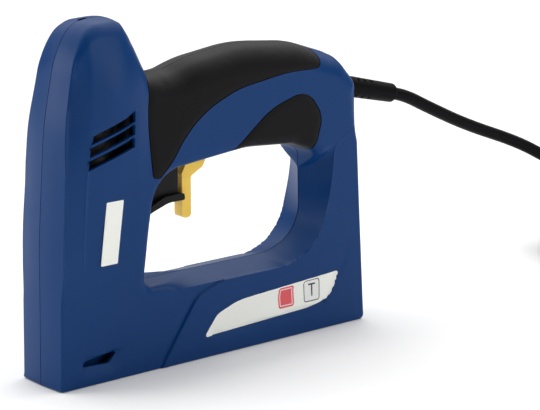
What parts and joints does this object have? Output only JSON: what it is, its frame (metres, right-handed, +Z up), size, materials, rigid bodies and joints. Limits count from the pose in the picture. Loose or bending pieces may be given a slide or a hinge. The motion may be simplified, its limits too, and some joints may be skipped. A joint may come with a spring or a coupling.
{
  "type": "electric stapler",
  "caption": "Hand-held mains electric stapler with D-handle, soft grips, spring-return trigger, sliding magazine, solenoid driver and a tied power cord with plug.",
  "frame": {"origin": "on the standing plane, under the middle of the tool without its cord", "axes": "+X to the rear (the nose faces -X), +Z up, -Y the left side; the tool is symmetric about Y=0 in its outer form"},
  "size_m": [0.5635, 0.0658, 0.1809],
  "materials": {
    "blue_housing": "moulded satin with fine spark texture",
    "grip_rubber": "soft matte elastomer",
    "label_print": "smooth printed film",
    "zinc_screw": "zinc plated",
    "laminated_steel": "stamped sheet",
    "nylon": "moulded",
    "copper_winding": "enamelled wire",
    "bumper_rubber": "matte",
    "bright_steel": "ground",
    "spring_steel": "drawn wire",
    "zinc_plated_sheet": "zinc plated",
    "staple_wire": "galvanised",
    "black_plastic": "moulded matte",
    "yellow_plastic": "moulded semi gloss",
    "switch_button": "moulded",
    "wire_insulation": "extruded",
    "cord_rubber": "extruded matte",
    "plug_pin_metal": "nickel plated"
  },
  "bodies": {
    "chassis": {"housing_left": "blue_housing", "housing_right": "blue_housing", "upper_grip_left": "grip_rubber", "upper_grip_right": "grip_rubber", "lower_grip_left": "grip_rubber", "lower_grip_right": "grip_rubber", "rail_label_left": "label_print", "rail_label_right": "label_print", "head_label": "label_print", "housing_screws": "zinc_screw", "clamp_screws": "zinc_screw", "solenoid_yoke": "laminated_steel", "coil_bobbin": "nylon", "circuit_board": "nylon", "board_parts": "nylon", "coil_winding": "copper_winding", "lower_bumper": "bumper_rubber", "top_bumper": "bumper_rubber", "trigger_pin": "bright_steel", "return_spring": "spring_steel", "trigger_spring": "spring_steel", "nose_guide": "zinc_plated_sheet", "magazine_channel": "zinc_plated_sheet", "trigger_guard": "black_plastic", "trigger_switch": "black_plastic", "slide_switch_body": "black_plastic", "cord_clamp": "black_plastic", "lead_wires": "wire_insulation", "inner_sheath": "cord_rubber", "strain_relief": "cord_rubber", "cord_run": "cord_rubber", "cord_hank": "cord_rubber", "cord_tail": "cord_rubber", "cord_ties": "cord_rubber", "plug_body": "cord_rubber", "plug_pins": "plug_pin_metal"},
    "driver": {"plunger": "bright_steel", "spring_cap": "bright_steel", "push_rod": "bright_steel", "blade_carrier": "bright_steel", "driver_blade": "bright_steel"},
    "magazine_slide": {"magazine_rail": "zinc_plated_sheet", "guide_rod": "bright_steel", "magazine_end_cap": "black_plastic", "staple_strip": "staple_wire", "pusher_spring": "spring_steel"},
    "pusher": {"pusher": "zinc_plated_sheet"},
    "latch": {"magazine_latch": "black_plastic"},
    "trigger": {"trigger": "yellow_plastic"},
    "switch_plunger": {"switch_plunger": "switch_button"},
    "slide_switch": {"slide_switch_cap": "blue_housing"}
  },
  "joints": [
    {"name": "driver_stroke", "type": "slide", "parent": "chassis", "child": "driver", "axis": [0, 0, -1], "range_m": [0, 0.016], "stiffness_N_per_m": 400, "springref_m": -0.004, "deforming": ["return_spring"]},
    {"name": "magazine_travel", "type": "slide", "parent": "chassis", "child": "magazine_slide", "axis": [1, 0, 0], "range_m": [0, 0.11]},
    {"name": "pusher_travel", "type": "slide", "parent": "magazine_slide", "child": "pusher", "axis": [1, 0, 0], "range_m": [0, 0.09], "stiffness_N_per_m": 20, "springref_m": -0.08, "deforming": ["pusher_spring"]},
    {"name": "latch_press", "type": "slide", "parent": "magazine_slide", "child": "latch", "axis": [0, 0, -1], "range_m": [0, 0.002], "stiffness_N_per_m": 300, "springref_m": -0.001},
    {"name": "trigger_pull", "type": "hinge", "parent": "chassis", "child": "trigger", "pos_m": [0, 0, 0.11], "axis": [0, -1, 0], "range_deg": [0, 9], "stiffness_Nm_per_rad": 0.6, "springref_deg": -8.59},
    {"name": "switch_press", "type": "slide", "parent": "chassis", "child": "switch_plunger", "axis": [-1, 0, 0], "range_m": [0, 0.0014]},
    {"name": "power_slide", "type": "slide", "parent": "chassis", "child": "slide_switch", "axis": [-0.0521, 0, 0.9986], "range_m": [0, 0.005]}
  ],
  "couplings": [
    {"joint": "switch_press", "follows": "trigger_pull", "m_per_rad": 0.0082}
  ]
}
